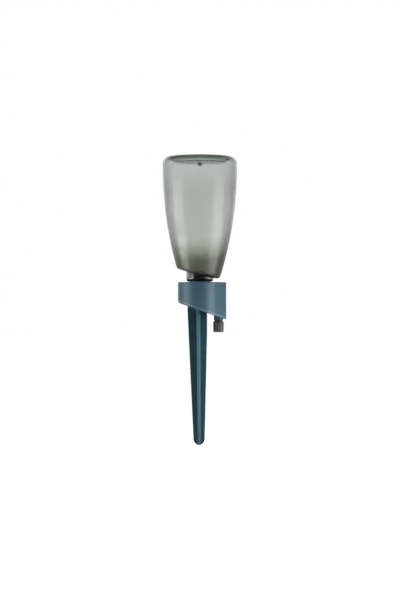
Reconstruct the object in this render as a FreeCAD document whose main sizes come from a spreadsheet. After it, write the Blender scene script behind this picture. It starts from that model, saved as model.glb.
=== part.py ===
import FreeCAD, Part
import math
import os
import Sketcher

# Drip watering spike: an upturned smoky bottle screwed into a slanted blue-grey head,
# a cross-ribbed spike below the head, and a needle valve with a knurled knob at its low side.
# Millimetres. +Z is up and the origin lies on the bottle's axis at the soil line.
# +X points from that axis to the outlet. A level is a height above the soil line.

# Driving sizes: name, value, what it is. Names that end in count, angle or shares aren't lengths.
SIZES = [
    # Bottle, mouth down.
    ("bottle_length", 155.0, "standing ring to mouth"),
    ("bottle_radius", 42.5, "widest place, under the ring"),
    ("bottle_wall", 2.0, "moulded wall"),
    ("base_corner_radius", 8.0, "round between side and standing ring"),
    ("base_land_width", 1.2, "flat of the standing ring"),
    ("punt_lip_radius", 2.2, "round from the flat into the recess"),
    ("punt_side_width", 2.7, "sloping side of the recess"),
    ("punt_depth", 5.0, "recess depth at the floor's edge"),
    ("punt_dish", 1.0, "extra depth at the floor's middle"),
    ("side_bow_radius", 420.0, "long curve of the side"),
    ("side_foot_radius", 21.94, "side at its lower end, which the shoulder trims off"),
    ("side_foot_drop", 1.7, "side's lower end below the neck's step"),
    ("shoulder_rise", 5.0, "slanted shoulder above the neck's step, on the axis"),
    ("shoulder_angle", 13.5, "fall of the shoulder towards +X, degrees"),
    ("shoulder_crown_radius", 270.0, "crown of the shoulder"),
    ("shoulder_round", 4.6, "round between side and shoulder"),
    ("shoulder_inner_round", 3.0, "the same inside"),
    ("neck_radius", 15.5, "wide part of the neck"),
    ("finish_length", 14.7, "threaded spout below the wide neck's step"),
    ("finish_radius", 9.7, "threaded spout, at the thread's root"),
    ("finish_wall", 1.9, "wall of the threaded spout"),
    ("mouth_round", 0.5, "rounding of the mouth's rim"),
    # Vent valve in the middle of the recess.
    ("vent_flange_radius", 4.8, "outer flange"),
    ("vent_flange_thick", 0.9, "outer flange"),
    ("vent_stem_radius", 2.5, "stem through the bottle's floor"),
    ("vent_bead_radius", 3.3, "bead that holds it inside"),
    ("vent_bead_thick", 0.8, "bead"),
    ("vent_bill_length", 1.6, "lips below the bead"),
    ("vent_bill_thick", 1.3, "closed lips"),
    ("vent_bore_radius", 1.1, "air passage"),
    ("vent_bore_stop", 0.8, "solid lip below the end of the air passage"),
    # Neck seal.
    ("seal_radius", 14.9, "black ring under the neck"),
    ("seal_thick", 2.3, "ring between the head's collar and the neck's step"),
    ("seal_round", 0.8, "rounding of the ring"),
    # Head shell.
    ("head_level", 66.5, "flat top of the head"),
    ("head_radius", 25.1, "round part of the plan"),
    ("lobe_radius", 8.9, "outlet end of the plan"),
    ("outlet_offset", 21.3, "outlet axis from the bottle's axis"),
    ("head_wall", 2.2, "side wall"),
    ("head_roof", 2.5, "top wall"),
    ("ledge_width", 1.5, "ledge that the gasket is pressed against"),
    ("head_edge_round", 1.0, "top edge"),
    ("head_rim_round", 1.0, "slanted lower edge"),
    ("rim_corner_radius", 4.5, "rounded corner at the rim's high end"),
    ("rim_level", 34.3, "slanted lower rim on the axis"),
    ("rim_angle", 19.3, "fall of the rim towards +X, degrees"),
    ("collar_radius", 12.5, "neck socket, outside"),
    ("collar_rise", 0.9, "collar above the flat top"),
    ("socket_radius", 10.7, "neck socket, at the thread's root"),
    ("mouth_gap", 0.6, "bottle's mouth above the strainer's flange"),
    ("socket_floor_thick", 2.0, "ledge"),
    ("socket_hole_radius", 6.6, "opening in the ledge"),
    # Base plate.
    ("plate_recess", 1.0, "plate behind the rim"),
    ("plate_thick", 2.2, "plate"),
    ("plate_gap", 0.1, "play of the plate in the shell"),
    ("gasket_thick", 1.2, "gasket between plate and ledge"),
    ("boss_wall", 1.9, "wall of the two bosses"),
    ("post_boss_roof", 1.8, "closed end of the spike's boss"),
    ("outlet_boss_level", 23.2, "lower end of the outlet boss"),
    # Spike.
    ("spike_length", 120.0, "soil line to tip"),
    ("spike_tip_x", -1.0, "tip"),
    ("spike_tip_height", 8.5, "rounded end"),
    ("spike_shoulder_level", 9.5, "level where the right edge starts to taper"),
    ("wing_left_top", -14.1, "left wing's edge at the head"),
    ("wing_left_low", -7.4, "left wing's edge above the tip"),
    ("wing_right_top", 8.3, "right wing's edge at the head"),
    ("wing_right_low", 5.6, "right wing's edge above the tip"),
    ("wing_thick", 2.8, "left and right wings"),
    ("rib_thick_top", 4.6, "front and back ribs at the head"),
    ("rib_thick_low", 3.4, "front and back ribs above the tip"),
    ("rib_x_top", -2.0, "rib's middle at the head"),
    ("rib_x_low", -0.7, "rib's middle above the tip"),
    ("rib_reach_top", 10.4, "front rib's edge from the middle plane, at the head"),
    ("rib_reach_low", 6.2, "front rib's edge above the tip"),
    ("tip_round_radius", 7.8, "curve of the rounded end"),
    ("rib_edge_round", 1.2, "long edges of the ribs"),
    ("post_radius", 4.5, "round tang in the base plate"),
    ("post_length", 9.5, "tang above the plate's underside"),
    ("post_fit", 0.05, "tang in its boss"),
    ("post_end_gap", 2.2, "tang's end to the boss's closed end"),
    # Inlet strainer and its mesh.
    ("strainer_radius", 7.15, "cage"),
    ("strainer_wall", 1.3, "cage wall"),
    ("strainer_height", 26.8, "cage above the socket's ledge"),
    ("strainer_roof", 1.4, "top of the cage"),
    ("strainer_round", 1.6, "edge of the cage's top"),
    ("strainer_flange_radius", 10.5, "flange in the socket"),
    ("strainer_flange_thick", 1.4, "flange in the socket"),
    ("slot_count", 10, "slots round the cage"),
    ("slot_tier_count", 3, "slots one above the other"),
    ("slot_width", 2.0, "slot"),
    ("slot_land", 1.6, "bar between two tiers"),
    ("slot_margin", 1.8, "cage above and below the slots"),
    ("mesh_thick", 0.35, "woven mesh sleeve"),
    ("mesh_fit", 0.05, "sleeve in the cage"),
    # Valve body.
    ("spigot_radius", 3.4, "upper end, in the outlet boss"),
    ("spigot_length", 5.2, "upper end"),
    ("spigot_fit", 0.1, "spigot in the boss"),
    ("land_radius", 4.95, "threaded part, at the thread's crest"),
    ("land_length", 6.8, "threaded part"),
    ("nose_radius", 3.2, "smooth lower end"),
    ("nose_length", 3.8, "smooth lower end"),
    ("flow_radius", 1.6, "bore through the valve body"),
    ("seat_radius", 2.5, "soft seat, outside"),
    ("seat_bore_radius", 0.9, "soft seat, hole"),
    ("seat_thick", 1.6, "soft seat"),
    ("ring_groove_radius", 2.4, "root of both ring grooves"),
    ("spigot_groove_depth", 2.9, "spigot's groove below its top, to the middle"),
    ("nose_groove_depth", 1.2, "nose's groove above its end, to the middle"),
    ("groove_play", 0.12, "groove wider than its ring"),
    ("ring_clearance", 0.03, "ring to the walls it rubs on"),
    # Regulator knob and metering needle.
    ("knob_gap", 1.9, "threaded part that shows above the knob"),
    ("knob_length", 11.9, "knob"),
    ("knob_top_radius", 6.15, "knob at its upper rim"),
    ("knob_low_radius", 5.85, "knob at its lower rim"),
    ("knob_edge", 0.4, "chamfer of both rims"),
    ("knob_floor", 1.5, "floor with the drip holes"),
    ("knob_bore_fit", 0.1, "knob over the threaded part"),
    ("knob_skirt_radius", 3.9, "smooth bore round the nose"),
    ("knob_step_gap", 1.0, "bore's step below the threaded part"),
    ("flute_count", 22, "grip flutes"),
    ("flute_radius", 0.5, "grip flute"),
    ("flute_rim", 1.3, "plain rim above the flutes"),
    ("drip_count", 4, "drip holes"),
    ("drip_radius", 0.65, "drip hole"),
    ("drip_circle_radius", 3.0, "circle of the drip holes"),
    ("valve_close_travel", 0.8, "knob's way up to the closed valve"),
    ("needle_pin_radius", 1.0, "needle's foot in the knob's floor"),
    ("needle_pin_length", 0.9, "needle's foot"),
    ("needle_pin_fit", 0.05, "foot in its socket"),
    ("needle_collar_radius", 2.0, "collar on the knob's floor"),
    ("needle_collar_thick", 0.65, "collar on the knob's floor"),
    ("needle_stem_radius", 1.15, "stem in the bore"),
    ("needle_cone_angle", 15.0, "half angle of the point, degrees"),
    ("needle_tip_radius", 0.3, "end of the point"),
    ("seat_touch", 0.05, "closed needle to the seat's edge"),
    # Cuts run past the surfaces they leave by this much.
    ("overrun", 5.0, "overrun of cuts"),
]

doc = FreeCAD.newDocument("drip_watering_spike")


def make_sheet():
    """Spreadsheet with one named cell for each driving size."""
    sheet = doc.addObject("Spreadsheet::Sheet", "sizes")
    for row, (name, value, note) in enumerate(SIZES, start=1):
        sheet.set(f"A{row}", name)
        sheet.set(f"B{row}", str(value))
        sheet.set(f"C{row}", note)
        sheet.setAlias(f"B{row}", name)
    doc.recompute()
    return sheet


sheet = make_sheet()


def amount(formula):
    """Present value of a formula of sheet names."""
    value = sheet.evalExpression(formula)
    return getattr(value, "Value", value)


def s(name):
    """Sheet name as it is written in a formula."""
    return f"sizes.{name}"


# Levels and radii that follow from the driving sizes, as formulas.
RIM_SLOPE = "tan(sizes.rim_angle * 1deg)"
RIM_COSINE = "cos(sizes.rim_angle * 1deg)"
PLATE_UNDERSIDE = "sizes.plate_recess"
PLATE_TOP = f"({PLATE_UNDERSIDE} + sizes.plate_thick)"
GASKET_TOP = f"({PLATE_TOP} + sizes.gasket_thick)"
COLLAR_LEVEL = "(sizes.head_level + sizes.collar_rise)"
NECK_LEVEL = f"({COLLAR_LEVEL} + sizes.seal_thick)"
SIDE_FOOT_LEVEL = f"({NECK_LEVEL} - sizes.side_foot_drop)"
SHOULDER_LEVEL = f"({NECK_LEVEL} + sizes.shoulder_rise)"
MOUTH_LEVEL = f"({NECK_LEVEL} - sizes.finish_length)"
TOP_LEVEL = f"({MOUTH_LEVEL} + sizes.bottle_length)"
FLANGE_LEVEL = f"({MOUTH_LEVEL} - sizes.mouth_gap)"
SOCKET_FLOOR_LEVEL = f"({FLANGE_LEVEL} - sizes.strainer_flange_thick)"
STRAINER_LEVEL = f"({SOCKET_FLOOR_LEVEL} + sizes.strainer_height)"
CHAMBER_TOP = "(sizes.head_level - sizes.head_roof)"
CHAMBER_INSET = "(sizes.head_wall + sizes.ledge_width)"
RING_LAND_RADIUS = "(sizes.bottle_radius - sizes.base_corner_radius)"
LAND_INNER_RADIUS = f"({RING_LAND_RADIUS} - sizes.base_land_width)"
PUNT_LIP_END = f"({LAND_INNER_RADIUS} - sizes.punt_lip_radius)"
PUNT_FLOOR_RADIUS = f"({PUNT_LIP_END} - sizes.punt_side_width)"
PUNT_FLOOR_LEVEL = f"({TOP_LEVEL} - sizes.punt_depth)"
PUNT_MIDDLE_LEVEL = f"({PUNT_FLOOR_LEVEL} - sizes.punt_dish)"
PUNT_DISH_RADIUS = f"({PUNT_FLOOR_RADIUS} ^ 2 / (2 * sizes.punt_dish) + sizes.punt_dish / 2)"
TIP_LEVEL = "(0 - sizes.spike_length)"
TIP_SHOULDER = f"({TIP_LEVEL} + sizes.spike_tip_height)"
OUTLET_BORE = "(sizes.spigot_radius + sizes.spigot_fit)"
SPIGOT_TOP = "(sizes.outlet_boss_level + sizes.spigot_length)"
LAND_END = "(sizes.outlet_boss_level - sizes.land_length)"
NOSE_END = f"({LAND_END} - sizes.nose_length)"
KNOB_TOP = "(sizes.outlet_boss_level - sizes.knob_gap)"
KNOB_END = f"({KNOB_TOP} - sizes.knob_length)"
KNOB_FLOOR = f"({KNOB_END} + sizes.knob_floor)"


def slanted(x, lift):
    """Level at x of the plane that lies lift above the head's slanted rim."""
    return f"(sizes.rim_level - {RIM_SLOPE} * ({x}) + ({lift}) / {RIM_COSINE})"


# The tang starts where the slanted underside of the plate passes its right side.
POST_START = slanted("sizes.rib_x_top + sizes.post_radius", PLATE_UNDERSIDE)
POST_SOCKET_END = f"({POST_START} + sizes.post_length + sizes.post_end_gap)"


def new_body(label):
    """Empty body for one piece."""
    body = doc.addObject("PartDesign::Body", label)
    body.Label = label
    return body


def new_sketch(body, name, plane_role, level="0"):
    """Sketch on one of the body's origin planes, or level above it."""
    sketch = body.newObject("Sketcher::SketchObject", f"{body.Name}_{name}")
    plane = [item for item in body.Origin.OriginFeatures if item.Role == plane_role][0]
    sketch.AttachmentSupport = [(plane, "")]
    sketch.MapMode = "FlatFace"
    sketch.setExpression("AttachmentOffset.Base.z", level)
    return sketch


def bind(sketch, constraint, formula):
    """Add a size constraint and tie it to a formula."""
    sketch.setExpression(f"Constraints[{sketch.addConstraint(constraint)}]", formula)


def bowed_edge(start, finish, radius, side):
    """Arc between two points, bulging to the left of the way for side 1 and right for -1."""
    chord = finish - start
    half = chord.Length / 2
    sagitta = radius - math.sqrt(max(radius ** 2 - half ** 2, 0))
    left = FreeCAD.Vector(-chord.y, chord.x, 0).normalize()
    return Part.Arc(start, start + chord / 2 + left * sagitta * side, finish)


def outline(sketch, corners):
    """Closed outline. A corner is (x, y), or (x, y, radius, side) where its next edge is an arc."""
    points = [FreeCAD.Vector(amount(corner[0]), amount(corner[1]), 0) for corner in corners]
    edges = []
    for index, corner in enumerate(corners):
        start = points[index]
        finish = points[(index + 1) % len(points)]
        if len(corner) == 2:
            shape = Part.LineSegment(start, finish)
        else:
            shape = bowed_edge(start, finish, amount(corner[2]), corner[3])
        edge = sketch.addGeometry(shape, False)
        near = (sketch.getPoint(edge, 1) - start).Length
        far = (sketch.getPoint(edge, 2) - start).Length
        edges.append((edge, 1, 2) if near < far else (edge, 2, 1))
    for index, corner in enumerate(corners):
        edge, first, last = edges[index]
        after, after_first, _ = edges[(index + 1) % len(edges)]
        sketch.addConstraint(Sketcher.Constraint("Coincident", edge, last, after, after_first))
        bind(sketch, Sketcher.Constraint("DistanceX", edge, first, points[index].x), corner[0])
        bind(sketch, Sketcher.Constraint("DistanceY", edge, first, points[index].y), corner[1])
        if len(corner) > 2:
            bind(sketch, Sketcher.Constraint("Radius", edge, amount(corner[2])), corner[2])


def circle(sketch, radius, x="0", y="0"):
    """Circle with its middle at (x, y)."""
    middle = FreeCAD.Vector(amount(x), amount(y), 0)
    ring = sketch.addGeometry(Part.Circle(middle, FreeCAD.Vector(0, 0, 1), amount(radius)), False)
    bind(sketch, Sketcher.Constraint("Radius", ring, amount(radius)), radius)
    bind(sketch, Sketcher.Constraint("DistanceX", ring, 3, middle.x), x)
    bind(sketch, Sketcher.Constraint("DistanceY", ring, 3, middle.y), y)


def teardrop(sketch, inset):
    """Plan of the head, drawn in by inset: two circles and the lines that touch both."""
    big = f"sizes.head_radius - {inset}"
    small = f"sizes.lobe_radius - {inset}"
    offset = amount(s("outlet_offset"))
    turn = math.acos((amount(big) - amount(small)) / offset)
    middle = FreeCAD.Vector(0, 0, 0)
    end = FreeCAD.Vector(offset, 0, 0)
    up = FreeCAD.Vector(0, 0, 1)
    way = FreeCAD.Vector(math.cos(turn), math.sin(turn), 0)
    back = FreeCAD.Vector(way.x, -way.y, 0)
    round_arc = sketch.addGeometry(
        Part.ArcOfCircle(Part.Circle(middle, up, amount(big)), turn, 2 * math.pi - turn), False)
    low_line = sketch.addGeometry(
        Part.LineSegment(back * amount(big), end + back * amount(small)), False)
    lobe_arc = sketch.addGeometry(
        Part.ArcOfCircle(Part.Circle(end, up, amount(small)), -turn, turn), False)
    high_line = sketch.addGeometry(
        Part.LineSegment(end + way * amount(small), way * amount(big)), False)
    loop = [round_arc, low_line, lobe_arc, high_line]
    for index, edge in enumerate(loop):
        after = loop[(index + 1) % len(loop)]
        sketch.addConstraint(Sketcher.Constraint("Tangent", edge, 2, after, 1))
    sketch.addConstraint(Sketcher.Constraint("Coincident", round_arc, 3, -1, 1))
    bind(sketch, Sketcher.Constraint("Radius", round_arc, amount(big)), big)
    bind(sketch, Sketcher.Constraint("Radius", lobe_arc, amount(small)), small)
    bind(sketch, Sketcher.Constraint("DistanceX", lobe_arc, 3, offset), s("outlet_offset"))
    bind(sketch, Sketcher.Constraint("DistanceY", lobe_arc, 3, 0), "0")


def feature(kind, sketch, name, **settings):
    """Feature of the sketch's body, made from that sketch."""
    body = sketch.getParentGeoFeatureGroup()
    made = body.newObject(f"PartDesign::{kind}", f"{body.Name}_{name}")
    made.Profile = sketch
    for key, value in settings.items():
        setattr(made, key, value)
    sketch.Visibility = False
    return made


def pad(sketch, name, length, **settings):
    """Pad upwards from the sketch by a formula's length."""
    made = feature("Pad", sketch, name, **settings)
    made.setExpression("Length", length)
    return made


def pocket(sketch, name, length, **settings):
    """Pocket from the sketch by a formula's length. Reversed cuts upwards."""
    made = feature("Pocket", sketch, name, **settings)
    made.setExpression("Length", length)
    return made


def through(sketch, name):
    """Pocket that passes right through the piece, both ways."""
    return feature("Pocket", sketch, name, Type="ThroughAll", Midplane=True)


def turned(label, corners, x="0"):
    """Piece turned from an outline of (radius, level) corners about a vertical axis at x."""
    body = new_body(label)
    sketch = new_sketch(body, "profile", "XZ_Plane")
    outline(sketch, corners)
    feature("Revolution", sketch, "turned", ReferenceAxis=(sketch, ["V_Axis"]))
    body.setExpression("Placement.Base.x", x)
    return body


def edges_where(shape, wanted):
    """Names of the edges of a shape that a test picks."""
    return [f"Edge{index}" for index, edge in enumerate(shape.Edges, start=1) if wanted(edge)]


def fillet(body, name, radius, wanted):
    """Round the edges of the body's last feature that a test picks."""
    doc.recompute()
    base = body.Tip
    rounded = body.newObject("PartDesign::Fillet", f"{body.Name}_{name}")
    rounded.Base = (base, edges_where(base.Shape, wanted))
    rounded.setExpression("Radius", radius)
    return rounded


def cut_away(body, tools):
    """Take other bodies away from this one."""
    cut = body.newObject("PartDesign::Boolean", f"{body.Name}_hollow")
    cut.setObjects(tools)
    cut.Type = "Cut"


def polar(body, base, name, count, angle):
    """Repeat a feature of the body about its vertical axis."""
    pattern = body.newObject("PartDesign::PolarPattern", f"{body.Name}_{name}")
    pattern.Originals = [base]
    pattern.Axis = ([item for item in body.Origin.OriginFeatures if item.Role == "Z_Axis"][0], [""])
    pattern.Angle = angle
    pattern.setExpression("Occurrences", count)
    body.Tip = pattern
    return pattern


def slanted_trim(body, name, lift, above):
    """Cut away what lies above, or below, the plane that lies lift above the rim."""
    sketch = new_sketch(body, name, "XZ_Plane")
    reach = "sizes.head_radius + sizes.lobe_radius + sizes.overrun"
    limit = TOP_LEVEL if above else "0"
    left = slanted(f"0 - ({reach})", lift)
    right = slanted(reach, lift)
    outline(sketch, [(f"0 - ({reach})", left), (f"0 - ({reach})", limit), (reach, limit), (reach, right)])
    return through(sketch, f"{name}_cut")


def bottle_form(label, inset):
    """Bottle's outer form, or its hollow when inset is the wall. The shoulder slants to +X."""
    body = new_body(label)
    side = f"sizes.bottle_radius - {inset}"
    corner_level = f"{TOP_LEVEL} - sizes.base_corner_radius"
    corner = ("sizes.base_corner_radius" if inset == "0" else f"sizes.base_corner_radius - {inset}")
    bow = f"sizes.side_bow_radius - {inset}"
    foot = (f"sizes.side_foot_radius - {inset}", SIDE_FOOT_LEVEL)
    corners = [("0", SIDE_FOOT_LEVEL), (*foot, bow, -1), (side, corner_level, corner, -1)]
    if inset == "0":
        corners += [(RING_LAND_RADIUS, TOP_LEVEL),
                    (LAND_INNER_RADIUS, TOP_LEVEL, s("punt_lip_radius"), -1),
                    (PUNT_LIP_END, f"{TOP_LEVEL} - sizes.punt_lip_radius"),
                    (PUNT_FLOOR_RADIUS, PUNT_FLOOR_LEVEL, PUNT_DISH_RADIUS, 1),
                    ("0", PUNT_MIDDLE_LEVEL)]
    else:
        corners += [(RING_LAND_RADIUS, f"{TOP_LEVEL} - {inset}"),
                    (PUNT_FLOOR_RADIUS, f"{PUNT_FLOOR_LEVEL} - {inset}",
                     f"{PUNT_DISH_RADIUS} - {inset}", 1),
                    ("0", f"{PUNT_MIDDLE_LEVEL} - {inset}")]
    profile = new_sketch(body, "profile", "YZ_Plane")
    outline(profile, corners)
    feature("Revolution", profile, "turned", ReferenceAxis=(profile, ["V_Axis"]))
    shoulder = new_sketch(body, "shoulder", "XZ_Plane")
    reach = s("bottle_radius")
    fall = f"{reach} * tan(sizes.shoulder_angle * 1deg)"
    lift = f"{inset} / cos(sizes.shoulder_angle * 1deg)"
    crown = f"(sizes.shoulder_crown_radius - {inset})"
    rise = f"{reach} ^ 2 / (2 * {crown})"
    outline(shoulder, [(f"0 - {reach}", "0"), (reach, "0"),
                       (reach, f"{SHOULDER_LEVEL} + {lift} + {rise} - {fall}", crown, 1),
                       (f"0 - {reach}", f"{SHOULDER_LEVEL} + {lift} + {rise} + {fall}")])
    through(shoulder, "shoulder_cut")
    rounding = s("shoulder_round") if inset == "0" else s("shoulder_inner_round")
    low = amount(SHOULDER_LEVEL) + amount(s("neck_radius"))
    wide = amount(s("neck_radius"))
    fillet(body, "shoulder_round", rounding,
           lambda edge: edge.BoundBox.ZMax < low and edge.BoundBox.YLength > wide)
    neck = new_sketch(body, "neck", "XY_Plane", f"{NECK_LEVEL} + {inset}")
    circle(neck, f"sizes.neck_radius - {inset}")
    pad(neck, "neck_pad", f"sizes.shoulder_rise + sizes.neck_radius - {inset}")
    return body


def make_bottle():
    """Hollow bottle: reservoir, wide neck and threaded spout, with a hole for the vent valve."""
    hollow = bottle_form("reservoir_hollow", s("bottle_wall"))
    bore = new_sketch(hollow, "bore", "XY_Plane", f"{MOUTH_LEVEL} - sizes.overrun")
    circle(bore, "sizes.finish_radius - sizes.finish_wall")
    pad(bore, "bore_pad", f"{SHOULDER_LEVEL} - {MOUTH_LEVEL} + sizes.overrun")
    body = bottle_form("bottle", "0")
    finish = new_sketch(body, "finish", "XY_Plane", MOUTH_LEVEL)
    circle(finish, s("finish_radius"))
    pad(finish, "finish_pad", f"{SHOULDER_LEVEL} - {MOUTH_LEVEL}")
    mouth = amount(MOUTH_LEVEL)
    fillet(body, "mouth_round", s("mouth_round"),
           lambda edge: abs(edge.BoundBox.ZMax - mouth) < 1e-6)
    hole = new_sketch(body, "vent_hole", "XY_Plane", TOP_LEVEL)
    circle(hole, "sizes.vent_stem_radius + sizes.post_fit")
    pocket(hole, "vent_hole_cut", "sizes.punt_depth + sizes.punt_dish + sizes.bottle_wall + sizes.overrun")
    cut_away(body, [hollow])
    return body


def make_vent_valve():
    """One-way air valve: flange outside, stem and bead, and two closed lips inside the bottle."""
    seat = f"({PUNT_MIDDLE_LEVEL} + sizes.post_fit)"
    bead_top = f"({PUNT_MIDDLE_LEVEL} - sizes.bottle_wall - sizes.post_fit)"
    bead_end = f"({bead_top} - sizes.vent_bead_thick)"
    bill_end = f"({bead_end} - sizes.vent_bill_length)"
    bore_end = f"({bill_end} + sizes.vent_bore_stop)"
    body = turned("vent_valve", [
        (s("vent_bore_radius"), f"{seat} + sizes.vent_flange_thick"),
        (s("vent_flange_radius"), f"{seat} + sizes.vent_flange_thick"),
        (s("vent_flange_radius"), seat),
        (s("vent_stem_radius"), seat),
        (s("vent_stem_radius"), bead_top),
        (s("vent_bead_radius"), bead_top),
        (s("vent_stem_radius"), bead_end),
        (s("vent_stem_radius"), bill_end),
        ("0", bill_end),
        ("0", bore_end),
        (s("vent_bore_radius"), bore_end),
    ])
    lips = new_sketch(body, "lips", "XZ_Plane")
    for sign in (1, -1):
        face = f"{sign} * sizes.vent_bill_thick / 2"
        beyond = f"{sign} * (sizes.vent_stem_radius + sizes.post_fit)"
        outline(lips, [(beyond, bead_end), (beyond, bill_end), (face, bill_end)])
    through(lips, "lips_cut")
    return body


def make_neck_seal():
    """Rubber ring between the head's collar and the step under the wide neck."""
    inner = "sizes.finish_radius + sizes.spigot_fit"
    body = turned("neck_seal", [(inner, COLLAR_LEVEL), (s("seal_radius"), COLLAR_LEVEL),
                                (s("seal_radius"), NECK_LEVEL), (inner, NECK_LEVEL)])
    outer = amount(s("seal_radius"))
    fillet(body, "seal_round", s("seal_round"),
           lambda edge: abs(edge.BoundBox.XMax - outer) < 1e-6 and edge.BoundBox.ZLength < 1e-6)
    return body


def make_head_shell():
    """Head: slanted shell with the neck socket hanging from its roof, open below for the plate."""
    chamber = new_body("chamber_hollow")
    plan = new_sketch(chamber, "plan", "XY_Plane")
    teardrop(plan, CHAMBER_INSET)
    pad(plan, "chamber", CHAMBER_TOP)
    core = new_sketch(chamber, "core", "XY_Plane", f"{SOCKET_FLOOR_LEVEL} - sizes.socket_floor_thick")
    circle(core, s("collar_radius"))
    pocket(core, "core_cut", s("head_level"), Reversed=True)
    seat = new_body("plate_hollow")
    plan = new_sketch(seat, "plan", "XY_Plane")
    teardrop(plan, s("head_wall"))
    pad(plan, "seat", s("head_level"))
    slanted_trim(seat, "seat_trim", GASKET_TOP, above=True)

    body = new_body("head_shell")
    plan = new_sketch(body, "plan", "XY_Plane")
    teardrop(plan, "0")
    pad(plan, "block", s("head_level"))
    slanted_trim(body, "rim", "0", above=False)
    top = amount(s("head_level"))
    fillet(body, "edge_round", s("head_edge_round"), lambda edge: edge.BoundBox.ZMin > top - 1e-6)
    depth = amount(s("lobe_radius"))
    fillet(body, "rim_round", s("head_rim_round"),
           lambda edge: edge.BoundBox.ZMax < top - depth and edge.BoundBox.XLength > 1e-6
           and edge.BoundBox.YLength > 1e-6)
    reach = "sizes.rim_corner_radius / tan(45deg + sizes.rim_angle * 0.5deg)"
    side = "0 - sizes.head_radius"
    corner = slanted(side, "0")
    away = f"{side} - sizes.overrun"
    start = f"{side} + {reach} * {RIM_COSINE}"
    high = f"{corner} + {reach}"
    trim = new_sketch(body, "rim_corner", "XZ_Plane")
    outline(trim, [(start, slanted(start, "0"), s("rim_corner_radius"), 1), (side, high),
                   (away, high), (away, f"{corner} - sizes.overrun")])
    through(trim, "rim_corner_cut")
    collar = new_sketch(body, "collar", "XY_Plane", CHAMBER_TOP)
    circle(collar, s("collar_radius"))
    pad(collar, "collar_pad", f"{COLLAR_LEVEL} - {CHAMBER_TOP}")
    socket = new_sketch(body, "socket", "XY_Plane", SOCKET_FLOOR_LEVEL)
    circle(socket, s("socket_radius"))
    pocket(socket, "socket_cut", s("head_level"), Reversed=True)
    hole = new_sketch(body, "socket_hole", "XY_Plane", SOCKET_FLOOR_LEVEL)
    circle(hole, s("socket_hole_radius"))
    pocket(hole, "socket_hole_cut", s("head_level"))
    cut_away(body, [chamber, seat])
    return body


def make_chamber_gasket():
    """Flat gasket between the base plate and the shell's ledge."""
    body = new_body("chamber_gasket")
    ring = new_sketch(body, "ring", "XY_Plane")
    teardrop(ring, "(sizes.head_wall + sizes.plate_gap)")
    teardrop(ring, CHAMBER_INSET)
    pad(ring, "ring_pad", s("head_level"))
    slanted_trim(body, "below", PLATE_TOP, above=False)
    slanted_trim(body, "over", GASKET_TOP, above=True)
    return body


def make_base_plate():
    """Slanted floor of the water chamber, with the spike's closed boss and the outlet boss."""
    body = new_body("base_plate")
    plan = new_sketch(body, "plan", "XY_Plane")
    teardrop(plan, "(sizes.head_wall + sizes.plate_gap)")
    pad(plan, "plate", s("head_level"))
    slanted_trim(body, "top", PLATE_TOP, above=True)
    boss = new_sketch(body, "post_boss", "XY_Plane")
    circle(boss, "sizes.post_radius + sizes.post_fit + sizes.boss_wall", s("rib_x_top"))
    pad(boss, "post_boss_pad", f"{POST_SOCKET_END} + sizes.post_boss_roof")
    slanted_trim(body, "underside", PLATE_UNDERSIDE, above=False)
    outlet = new_sketch(body, "outlet_boss", "XY_Plane", s("outlet_boss_level"))
    circle(outlet, f"{OUTLET_BORE} + sizes.boss_wall", s("outlet_offset"))
    feature("Pad", outlet, "outlet_boss_pad", Type="UpToFirst")
    socket = new_sketch(body, "post_socket", "XY_Plane")
    circle(socket, "sizes.post_radius + sizes.post_fit", s("rib_x_top"))
    pocket(socket, "post_socket_cut", POST_SOCKET_END, Reversed=True)
    bore = new_sketch(body, "outlet_bore", "XY_Plane")
    circle(bore, OUTLET_BORE, s("outlet_offset"))
    pocket(bore, "outlet_bore_cut", s("head_level"), Reversed=True)
    return body


def make_spike():
    """Spike of cross section: side wings, front and back ribs, rounded end and round tang."""
    body = new_body("spike")
    top = s("head_level")
    rib = new_sketch(body, "rib", "XZ_Plane")
    half_top = "sizes.rib_thick_top / 2"
    half_low = "sizes.rib_thick_low / 2"
    outline(rib, [(f"sizes.rib_x_top - {half_top}", top), (f"sizes.rib_x_low - {half_low}", TIP_LEVEL),
                  (f"sizes.rib_x_low + {half_low}", TIP_LEVEL), (f"sizes.rib_x_top + {half_top}", top)])
    made = pad(rib, "rib_pad", "2 * sizes.rib_reach_top")
    made.SideType = "Symmetric"
    reach = new_sketch(body, "rib_reach", "YZ_Plane")
    for sign in (1, -1):
        beyond = f"{sign} * (sizes.rib_reach_top + sizes.overrun)"
        outline(reach, [(f"{sign} * sizes.rib_reach_top", top), (beyond, top),
                        (beyond, f"{TIP_LEVEL} - sizes.overrun"), ("0", f"{TIP_LEVEL} - sizes.overrun"),
                        ("0", TIP_LEVEL, s("tip_round_radius"), -sign),
                        (f"{sign} * sizes.rib_reach_low", TIP_SHOULDER),
                        (f"{sign} * sizes.rib_reach_top", s("spike_shoulder_level"))])
    through(reach, "rib_reach_cut")
    near = amount(s("rib_reach_low")) / 2
    tall = amount(s("spike_tip_height"))
    fillet(body, "rib_round", s("rib_edge_round"),
           lambda edge: edge.BoundBox.ZLength > tall and abs(edge.CenterOfMass.y) > near)
    wing = new_sketch(body, "wing", "XZ_Plane")
    outline(wing, [(s("wing_left_top"), top), (s("wing_left_top"), s("rim_level")),
                   (s("wing_left_low"), TIP_SHOULDER, s("tip_round_radius"), -1),
                   (s("spike_tip_x"), TIP_LEVEL, s("tip_round_radius"), -1),
                   (s("wing_right_low"), TIP_SHOULDER), (s("wing_right_top"), s("spike_shoulder_level")),
                   (s("wing_right_top"), top)])
    made = pad(wing, "wing_pad", s("wing_thick"))
    made.SideType = "Symmetric"
    slanted_trim(body, "seat", PLATE_UNDERSIDE, above=True)
    post = new_sketch(body, "post", "XY_Plane", POST_START)
    circle(post, s("post_radius"), s("rib_x_top"))
    pad(post, "post_pad", s("post_length"))
    return body


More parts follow.
